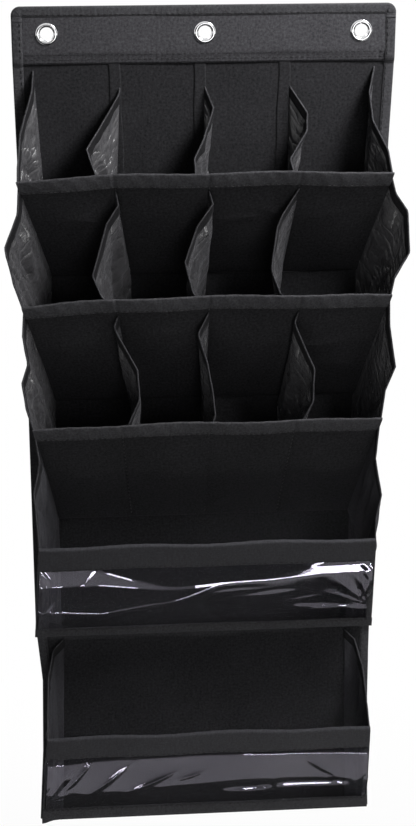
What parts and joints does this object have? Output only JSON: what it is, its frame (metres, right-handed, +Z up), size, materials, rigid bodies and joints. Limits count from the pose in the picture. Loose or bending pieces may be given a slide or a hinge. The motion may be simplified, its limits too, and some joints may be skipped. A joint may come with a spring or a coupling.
{
  "type": "hanging glasses organizer",
  "caption": "Hanging cloth organizer with a stiffened eyelet header, rows of divided wedge pockets for glasses and two wide pockets with clear fronts.",
  "frame": {"origin": "centre of the middle eyelet's bore, in the front face of the back panel", "axes": "+Z up along the back panel's height, +X across its width, -Y out of the pocket side"},
  "size_m": [0.3432, 0.0613, 0.8252],
  "materials": {
    "oxford_cloth": "matt woven polyester",
    "lining_cloth": "thin polyester with a soft sheen",
    "binding_tape": "folded woven tape",
    "clear_vinyl": "clear flexible vinyl, glossy",
    "eyelet_metal": "bright plated",
    "stiffener_board": "plain board"
  },
  "bodies": {
    "back": {"back_panel": "oxford_cloth", "header_band": "oxford_cloth", "header_board": "stiffener_board", "top_binding": "binding_tape", "left_binding": "binding_tape", "right_binding": "binding_tape", "bottom_binding": "binding_tape", "eyelet_left": "eyelet_metal", "eyelet_centre": "eyelet_metal", "eyelet_right": "eyelet_metal", "eyelet_washer_left": "eyelet_metal", "eyelet_washer_centre": "eyelet_metal", "eyelet_washer_right": "eyelet_metal", "row_1_divider_left": "lining_cloth", "row_1_divider_centre": "lining_cloth", "row_1_divider_right": "lining_cloth", "row_1_gusset_left": "lining_cloth", "row_1_gusset_right": "lining_cloth", "row_2_divider_left": "lining_cloth", "row_2_divider_centre": "lining_cloth", "row_2_divider_right": "lining_cloth", "row_2_gusset_left": "lining_cloth", "row_2_gusset_right": "lining_cloth", "row_3_divider_left": "lining_cloth", "row_3_divider_centre": "lining_cloth", "row_3_divider_right": "lining_cloth", "row_3_gusset_left": "lining_cloth", "row_3_gusset_right": "lining_cloth", "row_4_gusset_left": "lining_cloth", "row_4_gusset_right": "lining_cloth", "row_5_gusset_left": "lining_cloth", "row_5_gusset_right": "lining_cloth"},
    "pocket_front_1": {"row_1_front": "oxford_cloth", "row_1_hem": "binding_tape"},
    "pocket_front_2": {"row_2_front": "oxford_cloth", "row_2_hem": "binding_tape"},
    "pocket_front_3": {"row_3_front": "oxford_cloth", "row_3_hem": "binding_tape"},
    "pocket_front_4": {"row_4_band": "oxford_cloth", "row_4_window": "clear_vinyl", "row_4_trim": "binding_tape"},
    "pocket_front_5": {"row_5_band": "oxford_cloth", "row_5_window": "clear_vinyl", "row_5_trim": "binding_tape"}
  },
  "joints": [
    {"name": "row_1_fold", "type": "hinge", "parent": "back", "child": "pocket_front_1", "pos_m": [0, -0.0003, -0.221], "axis": [-1, 0, 0], "range_deg": [0, 16], "deforming": ["row_1_divider_left", "row_1_divider_centre", "row_1_divider_right", "row_1_gusset_left", "row_1_gusset_right"]},
    {"name": "row_2_fold", "type": "hinge", "parent": "back", "child": "pocket_front_2", "pos_m": [0, -0.0003, -0.343], "axis": [-1, 0, 0], "range_deg": [0, 16], "deforming": ["row_2_divider_left", "row_2_divider_centre", "row_2_divider_right", "row_2_gusset_left", "row_2_gusset_right"]},
    {"name": "row_3_fold", "type": "hinge", "parent": "back", "child": "pocket_front_3", "pos_m": [0, -0.0003, -0.464], "axis": [-1, 0, 0], "range_deg": [0, 16], "deforming": ["row_3_divider_left", "row_3_divider_centre", "row_3_divider_right", "row_3_gusset_left", "row_3_gusset_right"]},
    {"name": "row_4_fold", "type": "hinge", "parent": "back", "child": "pocket_front_4", "pos_m": [0, -0.0009, -0.59], "axis": [-1, 0, 0], "range_deg": [0, 16], "deforming": ["row_4_gusset_left", "row_4_gusset_right"]},
    {"name": "row_5_fold", "type": "hinge", "parent": "back", "child": "pocket_front_5", "pos_m": [0, -0.0009, -0.798], "axis": [-1, 0, 0], "range_deg": [0, 16], "deforming": ["row_5_gusset_left", "row_5_gusset_right"]}
  ],
  "couplings": [
    {"joint": "row_1_fold", "follows": "row_4_fold", "ratio": 1},
    {"joint": "row_2_fold", "follows": "row_4_fold", "ratio": 1},
    {"joint": "row_3_fold", "follows": "row_4_fold", "ratio": 1}
  ]
}
